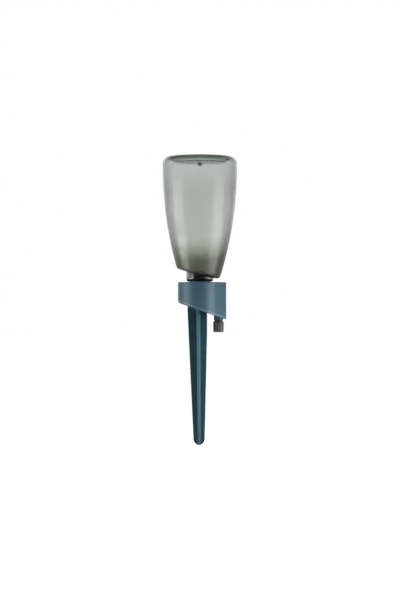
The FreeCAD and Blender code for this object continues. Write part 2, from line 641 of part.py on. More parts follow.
def make_strainer():
    """Slotted cage that stands on the socket's ledge and reaches up into the neck."""
    inner = "(sizes.strainer_radius - sizes.strainer_wall)"
    body = turned("inlet_strainer", [
        (inner, SOCKET_FLOOR_LEVEL),
        (s("strainer_flange_radius"), SOCKET_FLOOR_LEVEL),
        (s("strainer_flange_radius"), FLANGE_LEVEL),
        (s("strainer_radius"), FLANGE_LEVEL),
        (s("strainer_radius"), f"{STRAINER_LEVEL} - sizes.strainer_round",
         s("strainer_round"), -1),
        ("sizes.strainer_radius - sizes.strainer_round", STRAINER_LEVEL),
        ("0", STRAINER_LEVEL),
        ("0", f"{STRAINER_LEVEL} - sizes.strainer_roof"),
        (inner, f"{STRAINER_LEVEL} - sizes.strainer_roof"),
    ])
    slots = new_sketch(body, "slots", "XZ_Plane")
    tiers = int(amount(s("slot_tier_count")))
    span = f"({STRAINER_LEVEL} - sizes.strainer_roof - {FLANGE_LEVEL} - 2 * sizes.slot_margin)"
    step = f"({span} + sizes.slot_land) / {tiers}"
    for tier in range(tiers):
        low = f"{FLANGE_LEVEL} + sizes.slot_margin + {tier} * {step}"
        high = f"{low} + {step} - sizes.slot_land"
        left = "0 - sizes.slot_width / 2"
        right = "sizes.slot_width / 2"
        outline(slots, [(left, low), (right, low), (right, high), (left, high)])
    cut = through(slots, "slots_cut")
    doc.recompute()
    polar(body, cut, "slots_round", "sizes.slot_count / 2",
          180 - 360 / int(amount(s("slot_count"))))
    return body


def make_strainer_mesh():
    """Fine mesh sleeve inside the cage."""
    outer = "(sizes.strainer_radius - sizes.strainer_wall - sizes.mesh_fit)"
    low = f"({SOCKET_FLOOR_LEVEL} + sizes.mesh_fit)"
    high = f"({STRAINER_LEVEL} - sizes.strainer_roof - sizes.mesh_fit)"
    return turned("strainer_mesh", [(f"{outer} - sizes.mesh_thick", low), (outer, low), (outer, high),
                                    (f"{outer} - sizes.mesh_thick", high)])


def groove_half(wall):
    """Half the width of the groove for a ring that seals against a round wall."""
    return f"((({wall}) - sizes.ring_groove_radius) / 2 + sizes.groove_play)"


def make_valve_body():
    """Valve body: spigot in the outlet boss, threaded part for the knob and smooth nose."""
    spigot_groove = f"({SPIGOT_TOP} - sizes.spigot_groove_depth)"
    nose_groove = f"({NOSE_END} + sizes.nose_groove_depth)"
    spigot_half = groove_half(OUTLET_BORE)
    nose_half = groove_half(s("knob_skirt_radius"))
    root = s("ring_groove_radius")
    spigot = s("spigot_radius")
    nose = s("nose_radius")
    seat_floor = f"{SPIGOT_TOP} - sizes.seat_thick"
    return turned("valve_body", [
        (s("flow_radius"), seat_floor), (s("flow_radius"), NOSE_END), (nose, NOSE_END),
        (nose, f"{nose_groove} - {nose_half}"), (root, f"{nose_groove} - {nose_half}"),
        (root, f"{nose_groove} + {nose_half}"), (nose, f"{nose_groove} + {nose_half}"),
        (nose, LAND_END), (s("land_radius"), LAND_END), (s("land_radius"), s("outlet_boss_level")),
        (spigot, s("outlet_boss_level")), (spigot, f"{spigot_groove} - {spigot_half}"),
        (root, f"{spigot_groove} - {spigot_half}"), (root, f"{spigot_groove} + {spigot_half}"),
        (spigot, f"{spigot_groove} + {spigot_half}"), (spigot, SPIGOT_TOP),
        (s("seat_radius"), SPIGOT_TOP), (s("seat_radius"), seat_floor),
    ], s("outlet_offset"))


def make_ring(label, level, wall):
    """Rubber ring in one of the valve body's grooves, against a round wall."""
    section = f"((({wall}) - sizes.ring_groove_radius) / 2 - sizes.ring_clearance)"
    middle = f"((({wall}) + sizes.ring_groove_radius) / 2)"
    body = new_body(label)
    profile = new_sketch(body, "profile", "XZ_Plane")
    circle(profile, section, middle, level)
    feature("Revolution", profile, "turned", ReferenceAxis=(profile, ["V_Axis"]))
    body.setExpression("Placement.Base.x", s("outlet_offset"))
    return body


def make_valve_seat():
    """Soft seat in the top of the spigot, which the needle closes from below."""
    low = f"{SPIGOT_TOP} - sizes.seat_thick"
    outer = "sizes.seat_radius - sizes.ring_clearance"
    return turned("valve_seat", [(s("seat_bore_radius"), low), (outer, low), (outer, SPIGOT_TOP),
                                 (s("seat_bore_radius"), SPIGOT_TOP)], s("outlet_offset"))


def make_knob():
    """Regulator knob: a cup that screws onto the valve body, with drip holes in its floor."""
    thread = "sizes.land_radius + sizes.knob_bore_fit"
    step = f"{LAND_END} - sizes.knob_step_gap"
    pin = "sizes.needle_pin_radius + sizes.needle_pin_fit"
    pin_end = f"{KNOB_FLOOR} - sizes.needle_pin_length - sizes.needle_pin_fit"
    body = turned("regulator_knob", [
        ("0", KNOB_END), ("sizes.knob_low_radius - sizes.knob_edge", KNOB_END),
        (s("knob_low_radius"), f"{KNOB_END} + sizes.knob_edge"),
        (s("knob_top_radius"), f"{KNOB_TOP} - sizes.knob_edge"),
        ("sizes.knob_top_radius - sizes.knob_edge", KNOB_TOP),
        (thread, KNOB_TOP), (thread, step), (s("knob_skirt_radius"), step),
        (s("knob_skirt_radius"), KNOB_FLOOR), (pin, KNOB_FLOOR), (pin, pin_end), ("0", pin_end),
    ], s("outlet_offset"))
    holes = new_sketch(body, "drip_hole", "XY_Plane", KNOB_FLOOR)
    circle(holes, s("drip_radius"), s("drip_circle_radius"))
    cut = pocket(holes, "drip_hole_cut", "sizes.knob_floor + sizes.overrun")
    doc.recompute()
    polar(body, cut, "drip_holes", s("drip_count"), 360)
    flute = new_sketch(body, "flute", "XY_Plane", f"{KNOB_TOP} - sizes.flute_rim")
    circle(flute, s("flute_radius"), "sizes.knob_top_radius + sizes.flute_radius / 2")
    cut = pocket(flute, "flute_cut", "sizes.knob_length + sizes.overrun")
    doc.recompute()
    polar(body, cut, "flutes", s("flute_count"), 360)
    return body


def make_needle():
    """Metering needle: foot and collar in the knob's floor, stem and point towards the seat."""
    collar = f"({KNOB_FLOOR} + sizes.needle_pin_fit)"
    stem = f"({collar} + sizes.needle_collar_thick)"
    slope = "tan(sizes.needle_cone_angle * 1deg)"
    stem_radius = s("needle_stem_radius")
    touch = f"({stem_radius} - sizes.seat_bore_radius + sizes.seat_touch) / {slope}"
    cone = f"({SPIGOT_TOP} - sizes.seat_thick - {touch} - sizes.valve_close_travel)"
    tip = f"({cone} + ({stem_radius} - sizes.needle_tip_radius) / {slope})"
    foot = f"{collar} - sizes.needle_pin_length"
    return turned("metering_needle", [
        ("0", foot), (s("needle_pin_radius"), foot), (s("needle_pin_radius"), collar),
        (s("needle_collar_radius"), collar), (s("needle_collar_radius"), stem),
        (stem_radius, stem), (stem_radius, cone), (s("needle_tip_radius"), tip), ("0", tip),
    ], s("outlet_offset"))


def make_pieces():
    """Every piece of the spike, in the order of its assembly from the top."""
    spigot_ring = f"{SPIGOT_TOP} - sizes.spigot_groove_depth"
    nose_ring = f"{NOSE_END} + sizes.nose_groove_depth"
    return [
        make_bottle(),
        make_vent_valve(),
        make_neck_seal(),
        make_head_shell(),
        make_strainer(),
        make_strainer_mesh(),
        make_chamber_gasket(),
        make_base_plate(),
        make_spike(),
        make_valve_body(),
        make_valve_seat(),
        make_ring("spigot_ring", spigot_ring, OUTLET_BORE),
        make_ring("nose_ring", nose_ring, s("knob_skirt_radius")),
        make_needle(),
        make_knob(),
    ]


def check(pieces):
    """Stop when any object failed or a piece's solid is missing or broken."""
    for item in doc.Objects:
        if {"Invalid", "Error"} & set(item.State):
            raise RuntimeError(f"{item.Label} failed: {item.State}")
    for piece in pieces:
        if piece.Shape.isNull() or not piece.Shape.isValid():
            raise RuntimeError(f"{piece.Label} has no valid solid")
        if len(piece.Shape.Solids) != 1:
            raise RuntimeError(f"{piece.Label} has {len(piece.Shape.Solids)} solids")


pieces = make_pieces()
doc.recompute()
check(pieces)
os.makedirs("parts", exist_ok=True)
for piece in pieces:
    piece.Shape.exportStep(f"parts/{piece.Label}.step")
    print(piece.Label, round(piece.Shape.Volume, 2), piece.Shape.BoundBox)
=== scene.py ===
import math

import bmesh
import bpy
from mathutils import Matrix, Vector


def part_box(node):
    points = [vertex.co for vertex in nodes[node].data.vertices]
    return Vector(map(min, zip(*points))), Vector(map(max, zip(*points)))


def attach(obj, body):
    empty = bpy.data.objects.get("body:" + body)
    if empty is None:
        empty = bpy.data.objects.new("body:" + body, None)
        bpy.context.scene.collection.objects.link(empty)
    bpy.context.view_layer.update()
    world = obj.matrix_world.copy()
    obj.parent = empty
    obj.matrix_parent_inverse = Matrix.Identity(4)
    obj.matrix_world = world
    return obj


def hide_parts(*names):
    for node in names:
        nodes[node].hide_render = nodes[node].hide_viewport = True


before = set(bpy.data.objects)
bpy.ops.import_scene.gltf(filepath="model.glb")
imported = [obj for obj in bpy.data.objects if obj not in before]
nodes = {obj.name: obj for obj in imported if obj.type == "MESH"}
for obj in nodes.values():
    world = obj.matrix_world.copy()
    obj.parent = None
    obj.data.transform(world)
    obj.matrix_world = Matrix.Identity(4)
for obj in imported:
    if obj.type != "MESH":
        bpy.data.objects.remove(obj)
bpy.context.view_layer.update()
MM = 0.001
FULL_TURN = 2 * math.pi

# Bottle, in millimetres, as it is moulded: levels are heights above the soil line.
TOP = 210.0
MOUTH = 55.0
RADIUS = 42.5
WALL = 2.0
CORNER = 8.0
LAND = 1.2
LIP = 2.2
PUNT_RADIUS = 28.4
PUNT_DEPTH = 5.0
PUNT_DISH = 1.0
INNER_DIP = 0.4
VENT_HOLE = 2.55
VENT_RISE = 0.01
BOW = 420.0
FOOT_RADIUS = 22.9
FOOT_LEVEL = 71.0
SHOULDER = 74.7
SHOULDER_FALL = math.tan(math.radians(13.5))
SHOULDER_ROUND = 4.6
INNER_ROUND_LOSS = 0.8
CROWN = 270.0
NECK = 15.5
NECK_LEVEL = 69.7
NECK_ROUND = 0.8
NECK_MARGIN = 1.0
STEP_ROUND = 0.35
FINISH = 9.7
FINISH_WALL = 1.9
FINISH_ROUND = 0.5

# How finely the bottle is turned and drawn, how often its foot's radius is refined, and how many
# points of each of its two surfaces are the neck's.
BOTTLE_AROUND = 160
SIDE_ROWS = 40
SHOULDER_ROWS = 6
FOOT_ROUNDS = 30
NECK_POINTS = 7

# Head, in millimetres: socket and collar, the painted highlight along its top edge, the band with
# a painted highlight above its slanted rim, whose level is given at X 0, and the tint of its gloss.
SOCKET = 10.7
COLLAR_LEVEL = 67.4
HEAD_TOP = 66.5
EDGE_ROUND = 1.0
TOP_HIGHLIGHT = (HEAD_TOP - EDGE_ROUND, HEAD_TOP - 0.3 * EDGE_ROUND)
RIM_LEVEL = 34.3
RIM_FALL = 0.350
RIM_HIGHLIGHT_BAND = 3.0
HEAD_GLOSS = (0.70, 0.90, 1.0, 1.0)

# Screw thread of bottle and socket, in millimetres: a ridge that sinks a little into its wall.
# Its flank ends at shares of its height and half width, and it starts and ends a margin inside its
# levels. The socket's ridge runs half a pitch off the bottle's.
NECK_PITCH = 3.2
RIDGE = 0.7
RIDGE_HALF_WIDTH = 0.36 * NECK_PITCH
RIDGE_FLANK = (0.75, 0.45)
RIDGE_SINK = 0.05
RIDGE_MARGIN_TURNS = 0.3
RIDGE_STEPS = 40
RIDGE_FADE_STEPS = 8
SPOUT_THREAD = (MOUTH + 0.6, NECK_LEVEL - 2.6)
SOCKET_THREAD = (SPOUT_THREAD[0] + NECK_PITCH / 2, COLLAR_LEVEL - 0.4)

# Valve body, in millimetres. Its thread is a groove, whose widths at crest and root are shares of
# the pitch.
OUTLET_X = 21.3
BOSS_END = 23.2
SPIGOT_TOP = 28.4
SPIGOT = 3.4
SPIGOT_GROOVE = (24.83, 26.17)
SEAT_RADIUS = 2.5
SEAT_FLOOR = 26.8
THREAD_CREST = 4.95
THREAD_DEPTH = 0.4
THREAD_WIDTHS = (0.675, 0.175)
THREAD_END = 16.4
THREAD_RUNOUT = 0.5
THREAD_ROWS = 68
VALVE_PITCH = 1.0
NOSE = 3.2
NOSE_END = 12.6
NOSE_GROOVE = (12.93, 14.67)
GROOVE_ROOT = 2.4
FLOW_BORE = 1.6
VALVE_AROUND = 96

# Angle past which an edge stays sharp, in degrees.
SHARP_BODY = 50
SHARP_THREAD = 40

# Reach of the spike's front and back ribs from its middle plane: level, reach, in millimetres.
# Their painted highlight, a paler edge, fades out between two depths.
RIB_LEVELS = [(-120.0, 0.0), (-118.5, 3.2), (-115.5, 5.2), (-111.5, 6.2), (9.5, 10.4)]
RIB_HIGHLIGHT = (0.7, 1.5)

# Smoke of the bottle and painted shade, in millimetres: darker towards the shoulder. It begins a
# little below the shoulder, and its levels rise slightly towards +X, which is a fall below 0. A
# painted dark line of shade follows the shoulder. The darker edges and the speckle begin at their
# first level and are full at their second. The painted shade in the recess of the base sets in over
# RECESS_RISE above its floor and ends over RECESS_FADE outside the ring.
SMOKE_AND_SHADE_FALL = -0.08
SMOKE_AND_SHADE_START = SHOULDER - 1.0
SHADE_LINE_END = SHOULDER + 2.2
SHADE_LINE_FADE = (SHOULDER + 1.3, SHOULDER + 2.3)
DARK_EDGES = (148.0, 110.0)
SPECKLE = (110.0, 90.0)
RECESS_RISE = 0.8
RECESS_FADE = 1.5

# Texture that moulded plastics share: noise scales per metre, the grain's bump, and how far a
# face's roughness varies.
CLOUD_SCALE = 45.0
GRAIN_SCALE = 1400.0
GRAIN_STRENGTH = 0.12
GRAIN_DEPTH = 0.0001
GLOSS_SPREAD = (-0.05, 0.07)

# Sockets of a Mix node that mixes colours.
MIX_FIRST = 6
MIX_SECOND = 7
MIX_RESULT = 2

# The photograph's frame: image size, middle of the bottle's axis and scale, in its pixels.
IMAGE_SIZE = (401, 601)
AXIS_PX = 199.85
SOIL_PX = 340.3
MM_PER_PX = 1.144
CAMERA_DISTANCE = 2.0
SENSOR_HEIGHT = 24.0

# Floor, in metres.
FLOOR_GAP = 0.002
FLOOR_HALF = 6.0

# Surroundings: between which parts of a direction their light changes, and how dim it gets.
FRONT_TO_BACK = (0.5, 0.92)
FRONT_LIGHT = 0.14
LEVEL_TO_OVERHEAD = (0.3, 0.6)
OVERHEAD_LIGHT = 0.08
MIDDLE_TO_SIDE = (0.15, 0.7)
SIDE_LIGHT = 0.6


def arc_points(start, finish, radius, side, steps):
    """Points on an arc from start to finish that bulges left of the way for side 1."""
    chord = Vector((finish[0] - start[0], finish[1] - start[1]))
    half = chord.length / 2
    sagitta = math.sqrt(max(radius ** 2 - half ** 2, 0))
    left = Vector((-chord.y, chord.x)).normalized()
    middle = Vector(start) + chord / 2 - left * sagitta * side
    first = math.atan2(start[1] - middle.y, start[0] - middle.x)
    last = math.atan2(finish[1] - middle.y, finish[0] - middle.x)
    sweep = (last - first + math.pi) % FULL_TURN - math.pi
    return [(middle.x + radius * math.cos(first + sweep * i / steps),
             middle.y + radius * math.sin(first + sweep * i / steps)) for i in range(steps + 1)]


def rounded_corner(before, corner, after, radius, steps):
    """Points that round a corner, tangent to the ways towards before and after."""
    corner = Vector(corner)
    back = (Vector(before) - corner).normalized()
    ahead = (Vector(after) - corner).normalized()
    opening = back.angle(ahead)
    reach = radius / math.tan(opening / 2)
    start = corner + back * reach
    finish = corner + ahead * reach
    points = []
    for i in range(steps + 1):
        share = i / steps
        points.append(tuple(start * (1 - share) ** 2 + corner * 2 * share * (1 - share)
                            + finish * share ** 2))
    return points


def side_radius(level, inset):
    """Radius of the bottle's bowed side at a level."""
    low = Vector((FOOT_RADIUS - inset, FOOT_LEVEL))
    high = Vector((RADIUS - inset, TOP - CORNER))
    radius = BOW - inset
    chord = high - low
    depth = math.sqrt(radius ** 2 - (chord.length / 2) ** 2)
    inward = Vector((-chord.y, chord.x)).normalized()
    middle = low + chord / 2 + inward * depth
    return middle.x + math.sqrt(radius ** 2 - (level - middle.y) ** 2)


def shoulder_level(radius, turn, inset):
    """Level of the slanted, crowned shoulder at a radius, on the meridian at an angle."""
    x = radius * math.cos(turn)
    lift = inset / math.cos(math.atan(SHOULDER_FALL))
    return SHOULDER + lift - SHOULDER_FALL * x + x * x / (2 * (CROWN - inset))


def base_points(inset):
    """Section of the recessed base and its outer corner, from the vent's hole outwards."""
    ring = RADIUS - CORNER
    dish = PUNT_RADIUS ** 2 / (2 * PUNT_DISH) + PUNT_DISH / 2
    floor = TOP - PUNT_DEPTH - inset
    hole = (VENT_HOLE, floor - PUNT_DISH + VENT_RISE)
    points = arc_points(hole, (PUNT_RADIUS, floor), dish - inset, side=-1, steps=12)
    if inset == 0:
        land = ring - LAND
        points += arc_points((land - LIP, TOP - LIP), (land, TOP), LIP, side=1, steps=6)
    else:
        points.append((ring - LAND / 2, TOP - inset - INNER_DIP))
    side_top = (RADIUS - inset, TOP - CORNER)
    return points + arc_points((ring, TOP - inset), side_top, CORNER - inset, side=1, steps=10)


def side_points(turn, inset):
    """Section of the side and of the rounding that leads into the shoulder."""
    radius = FOOT_RADIUS
    for _ in range(FOOT_ROUNDS):
        radius = side_radius(shoulder_level(radius, turn, inset), inset)
    level = shoulder_level(radius, turn, inset)
    leg = 4
    above = (side_radius(level + leg, inset), level + leg)
    inside = (radius - leg, shoulder_level(radius - leg, turn, inset))
    round_radius = SHOULDER_ROUND - inset * INNER_ROUND_LOSS
    rounding = rounded_corner(above, (radius, level), inside, round_radius, steps=8)
    high = TOP - CORNER
    low = rounding[0][1]
    levels = [high + (low - high) * i / SIDE_ROWS for i in range(1, SIDE_ROWS)]
    return [(side_radius(z, inset), z) for z in levels] + rounding


def meridian(turn, inset):
    """Half section of the bottle's surface at an angle, from the recess to the neck's step."""
    points = base_points(inset) + side_points(turn, inset)
    neck = NECK - inset
    start = points[-1][0]
    end = neck + NECK_MARGIN
    for i in range(1, SHOULDER_ROWS):
        r = start + (end - start) * i / SHOULDER_ROWS
        points.append((r, shoulder_level(r, turn, inset)))
    joint = shoulder_level(neck, turn, inset)
    leg = 2
    outside = (neck + leg, shoulder_level(neck + leg, turn, inset))
    points += rounded_corner(outside, (neck, joint), (neck, joint - leg), NECK_ROUND, steps=4)
    step = NECK_LEVEL + inset
    points += rounded_corner((neck, step + leg), (neck, step), (neck - leg, step), STEP_ROUND,
                             steps=3)
    return points


def bottle_section(turn):
    """Whole section of the bottle's wall at an angle, and which of its points the neck has."""
    outside = meridian(turn, 0)
    inside = meridian(turn, WALL)
    bore = FINISH - FINISH_WALL
    above = (FINISH, MOUTH + FINISH_ROUND)
    spout = [(FINISH, NECK_LEVEL), (FINISH, (NECK_LEVEL + MOUTH) / 2)]
    spout += rounded_corner(above, (FINISH, MOUTH), (bore, MOUTH), FINISH_ROUND, steps=3)
    spout += [(bore, MOUTH), (bore, NECK_LEVEL), (bore, NECK_LEVEL + WALL)]
    neck = range(len(outside) - NECK_POINTS, len(outside) + len(spout) + NECK_POINTS)
    return outside + spout + inside[::-1], neck


def valve_section(turn):
    """Section of the valve body at an angle, where its fine thread has wound so far."""
    section = [(FLOW_BORE, SEAT_FLOOR), (FLOW_BORE, NOSE_END), (NOSE, NOSE_END),
               (NOSE, NOSE_GROOVE[0]), (GROOVE_ROOT, NOSE_GROOVE[0]),
               (GROOVE_ROOT, NOSE_GROOVE[1]), (NOSE, NOSE_GROOVE[1]), (NOSE, THREAD_END)]
    at_crest, at_root = THREAD_WIDTHS
    for i in range(THREAD_ROWS + 1):
        level = THREAD_END + (BOSS_END - THREAD_END) * i / THREAD_ROWS
        phase = (level / VALVE_PITCH - turn / FULL_TURN) % 1.0
        off_middle = abs(2 * phase - 1)
        groove = min(1, max(0, (at_crest - off_middle) / (at_crest - at_root)))
        fade = min(1, (level - THREAD_END) / THREAD_RUNOUT, (BOSS_END - level) / THREAD_RUNOUT)
        section.append((THREAD_CREST - THREAD_DEPTH * groove * fade, level))
    section += [(SPIGOT, BOSS_END), (SPIGOT, SPIGOT_GROOVE[0]), (GROOVE_ROOT, SPIGOT_GROOVE[0]),
                (GROOVE_ROOT, SPIGOT_GROOVE[1]), (SPIGOT, SPIGOT_GROOVE[1]),
                (SPIGOT, SPIGOT_TOP), (SEAT_RADIUS, SPIGOT_TOP), (SEAT_RADIUS, SEAT_FLOOR)]
    return section


def smooth_mesh(name, vertices, faces, sharp_degrees):
    """Mesh from vertices in millimetres, shaded smooth, with edges kept sharp past an angle."""
    mesh = bpy.data.meshes.new(name)
    mesh.from_pydata([tuple(c * MM for c in v) for v in vertices], [], faces)
    mesh.validate()
    build = bmesh.new()
    build.from_mesh(mesh)
    bmesh.ops.recalc_face_normals(build, faces=build.faces)
    build.to_mesh(mesh)
    build.free()
    mesh.shade_smooth()
    mesh.set_sharp_from_angle(angle=math.radians(sharp_degrees))
    return mesh


def turned_mesh(name, section_at, around, middle_x=0.0):
    """Closed mesh of a section that may change with the angle, and how many points it has."""
    vertices = []
    for i in range(around):
        turn = FULL_TURN * i / around
        vertices += [(middle_x + r * math.cos(turn), r * math.sin(turn), z)
                     for r, z in section_at(turn)]
    count = len(vertices) // around
    faces = []
    for i in range(around):
        after = (i + 1) % around
        for k in range(count):
            up = (k + 1) % count
            faces.append((i * count + k, after * count + k, after * count + up, i * count + up))
    return smooth_mesh(name, vertices, faces, SHARP_BODY), count


def new_object(name, mesh, body, material):
    """Object for a mesh in place, riding on a body and finished with a material."""
    made = bpy.data.objects.new(name, mesh)
    bpy.context.scene.collection.objects.link(made)
    made.data.materials.append(material)
    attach(made, body)
    return made


def make_bottle(material, neck_material):
    """Bottle with its slanted shoulder: pebbled above, clear from the neck down."""
    mesh, count = turned_mesh("bottle_skin", lambda turn: bottle_section(turn)[0], BOTTLE_AROUND)
    made = new_object("bottle_skin", mesh, "bottle", material)
    mesh.materials.append(neck_material)
    neck = bottle_section(0)[1]
    for polygon in mesh.polygons:
        polygon.material_index = int(all(index % count in neck for index in polygon.vertices))
    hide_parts("bottle")


def make_valve_body(material):
    """Valve body with a fine thread cut into its wide part, whose crest the knob's bore clears."""
    mesh, _ = turned_mesh("threaded_valve_body", valve_section, VALVE_AROUND, OUTLET_X)
    made = new_object("threaded_valve_body", mesh, "root", material)
    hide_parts("valve_body")


def make_thread(name, core, levels, body, material, inward=False):
    """Screw thread: one rounded ridge wound round a core, or inside a bore when inward."""
    low, high = levels
    count = int(RIDGE_STEPS * ((high - low) / NECK_PITCH - 2 * RIDGE_MARGIN_TURNS))
    sign = -1 if inward else 1
    root = -RIDGE_SINK * sign
    crest = RIDGE * sign
    flank = RIDGE_FLANK[0] * crest
    flank_width = RIDGE_FLANK[1] * RIDGE_HALF_WIDTH
    profile = [(root, -RIDGE_HALF_WIDTH), (flank, -flank_width), (crest, 0),
               (flank, flank_width), (root, RIDGE_HALF_WIDTH)]
    size = len(profile)
    vertices = []
    for i in range(count + 1):
        turn = FULL_TURN * i / RIDGE_STEPS
        fade = min(1, i / RIDGE_FADE_STEPS, (count - i) / RIDGE_FADE_STEPS)
        level = low + RIDGE_MARGIN_TURNS * NECK_PITCH + NECK_PITCH * i / RIDGE_STEPS
        for out, along in profile:
            r = core + (out if out == root else out * fade)
            vertices.append((r * math.cos(turn), r * math.sin(turn), level + along))
    faces = []
    for i in range(count):
        for k in range(size):
            up = (k + 1) % size
            faces.append((i * size + k, i * size + up, (i + 1) * size + up, (i + 1) * size + k))
    faces.append(tuple(range(size)))
    faces.append(tuple(count * size + k for k in range(size))[::-1])
    mesh = smooth_mesh(name, vertices, faces, SHARP_THREAD)
    new_object(name, mesh, body, material)


def srgb(red, green, blue):
    """Linear colour from the usual 0 to 255 screen values."""
    return tuple(((c / 255 + 0.055) / 1.055) ** 2.4 if c > 10 else c / 255 / 12.92
                 for c in (red, green, blue)) + (1.0,)


def grey(value):
    """Linear grey."""
    return (value, value, value, 1.0)


class Tree:
    """Short way to build a node tree."""

    def __init__(self, tree):
        self.tree = tree

    def add(self, kind, **settings):
        """New node with properties set."""
        node = self.tree.nodes.new(f"ShaderNode{kind}")
        for key, value in settings.items():
            setattr(node, key, value)
        return node

    def feed(self, socket, value):
        """Join a socket to another node's, or set it to a number or colour."""
        if isinstance(value, bpy.types.NodeSocket):
            self.tree.links.new(value, socket)
        else:
            socket.default_value = value

    def math(self, operation, *values):
        """One step of arithmetic on numbers and sockets."""
        node = self.add("Math", operation=operation)
        for socket, value in zip(node.inputs, values):
            self.feed(socket, value)
        return node.outputs[0]

    def rate(self, value, source=(0.0, 1.0), target=(0.0, 1.0), smooth=False):
        """Value moved from one range to another."""
        node = self.add("MapRange", interpolation_type="SMOOTHSTEP" if smooth else "LINEAR")
        names = ("Value", "From Min", "From Max", "To Min", "To Max")
        for name, number in zip(names, (value, *source, *target)):
            self.feed(node.inputs[name], number)
        return node.outputs["Result"]

    def mix(self, factor, first, second, blend="MIX"):
        """Mixture of two colours."""
        node = self.add("Mix", data_type="RGBA", blend_type=blend)
        self.feed(node.inputs["Factor"], factor)
        self.feed(node.inputs[MIX_FIRST], first)
        self.feed(node.inputs[MIX_SECOND], second)
        return node.outputs[MIX_RESULT]

    def coordinates(self, kind):
        """X, Y and Z of one kind of texture coordinates."""
        split = self.add("SeparateXYZ")
        self.feed(split.inputs["Vector"], self.add("TexCoord").outputs[kind])
        return split.outputs


class Material(Tree):
    """Material with one Principled shader."""

    def __init__(self, name):
        self.material = bpy.data.materials.new(name)
        self.material.use_nodes = True
        super().__init__(self.material.node_tree)
        self.shader = self.tree.nodes["Principled BSDF"]

    def place(self, scale=(1, 1, 1)):
        """Object coordinates, scaled."""
        mapping = self.add("Mapping")
        mapping.inputs["Scale"].default_value = scale
        self.feed(mapping.inputs["Vector"], self.add("TexCoord").outputs["Object"])
        return mapping.outputs["Vector"]

    def noise(self, scale, detail, vector=None):
        """Noise texture on the object."""
        texture = self.add("TexNoise")
        texture.inputs["Scale"].default_value = scale
        texture.inputs["Detail"].default_value = detail
        self.feed(texture.inputs["Vector"], vector or self.place())
        return texture.outputs["Fac"]

    def cloud(self):
        """Soft cloudy texture of moulded plastic."""
        return self.noise(CLOUD_SCALE, detail=4.0)

    def grain(self):
        """Fine grain of moulded plastic, as a bump."""
        self.bump(self.noise(GRAIN_SCALE, detail=2.0), GRAIN_STRENGTH, GRAIN_DEPTH)

    def ramp(self, factor, *stops):
        """Colour ramp over a factor, with a position and a colour for each stop."""
        ramp = self.add("ValToRGB")
        elements = ramp.color_ramp.elements
        while len(elements) < len(stops):
            elements.new(0.5)
        for element, (position, colour) in zip(elements, stops):
            element.position = position
            element.color = colour
        self.feed(ramp.inputs["Fac"], factor)
        return ramp.outputs["Color"]

    def level(self, low, high, fall=0.0):
        """0 to 1 between two levels, in millimetres at X 0, that may fall towards +X."""
        where = self.coordinates("Object")
        height = self.math("MULTIPLY_ADD", where["X"], fall, where["Z"])
        return self.rate(height, (low * MM, high * MM))

    def bump(self, height, strength, distance):
        """Bump from a height."""
        bump = self.add("Bump")
        bump.inputs["Strength"].default_value = strength
        bump.inputs["Distance"].default_value = distance
        self.feed(bump.inputs["Height"], height)
        self.feed(self.shader.inputs["Normal"], bump.outputs["Normal"])

    def finish(self, values):
        """Feed the shader's sockets, and hand the material over."""
        for name, value in values.items():
            self.feed(self.shader.inputs[name], value)
        return self.material


def moulded(name, colour, deeper, roughness, specular=0.5):
    """Moulded plastic or rubber: faint cloudy colour, fine grain, uneven gloss."""
    kit = Material(name)
    cloud = kit.cloud()
    kit.grain()
    return kit.finish({
        "Base Color": kit.ramp(cloud, (0.3, deeper), (0.7, colour)),
        "Roughness": kit.rate(cloud, target=[roughness + spread for spread in GLOSS_SPREAD]),
        "Specular IOR Level": specular,
    })


def head_plastic():
    """Head: blue-grey plastic, painted highlight along its top and just above its slanted rim."""
    kit = Material("head_plastic")
    cloud = kit.cloud()
    kit.grain()
    dark = srgb(34, 64, 75)
    pale = srgb(82, 113, 124)
    face = kit.ramp(cloud, (0.3, srgb(44, 74, 86)), (0.7, srgb(48, 78, 90)))
    # Painted highlight in a pale band just above the slanted rim, where its rounding catches light,
    # over a darker strip at the rim's very edge, and a painted highlight along the top edge.
    rim = kit.level(RIM_LEVEL, RIM_LEVEL + RIM_HIGHLIGHT_BAND, RIM_FALL)
    painted_rim_band = kit.ramp(rim, (0.0, dark), (0.40, dark), (0.55, pale), (0.75, pale),
                    (1.0, srgb(46, 76, 88)))
    nearly_past = 0.999
    side = kit.mix(kit.math("GREATER_THAN", rim, nearly_past), painted_rim_band, face)
    return kit.finish({
        "Base Color": kit.mix(kit.level(*TOP_HIGHLIGHT), side, srgb(72, 103, 114)),
        "Roughness": kit.rate(cloud, target=(0.43, 0.55)),
        "Specular IOR Level": 0.58,
        "Specular Tint": HEAD_GLOSS,
        "Sheen Weight": 0.9,
        "Sheen Roughness": 0.35,
        "Sheen Tint": HEAD_GLOSS,
        "Coat Weight": 0.2,
        "Coat Roughness": 0.3,
    })


def smoke_and_shade(kit):
    """Smoke tint and painted shade of the bottle by level, darker towards the shoulder, and a
    painted dark line of shade along the shoulder's slanted corner.
    """
    # Darker towards the shoulder: partly the smoky tint of a thicker wall, partly painted shade.
    rise = kit.level(SMOKE_AND_SHADE_START, TOP, SMOKE_AND_SHADE_FALL)
    tint = kit.ramp(rise, (0.0, (0.245, 0.26, 0.195, 1)), (0.12, (0.30, 0.325, 0.235, 1)),
                    (0.20, (0.53, 0.56, 0.49, 1)), (0.32, (0.67, 0.70, 0.66, 1)),
                    (0.72, (0.66, 0.685, 0.66, 1)), (0.90, (0.73, 0.755, 0.745, 1)))
    # Painted shade: a dark line along the shoulder's slanted corner, standing in for its refracted
    # shade.
    near = kit.level(SMOKE_AND_SHADE_START, SHADE_LINE_END, SHOULDER_FALL)
    line = kit.ramp(near, (0.0, (0.60, 0.62, 0.59, 1)), (0.25, (0.05, 0.05, 0.04, 1)),
                    (0.75, (0.07, 0.07, 0.055, 1)))
    return kit.mix(kit.level(*SHADE_LINE_FADE, SHOULDER_FALL), line, tint)


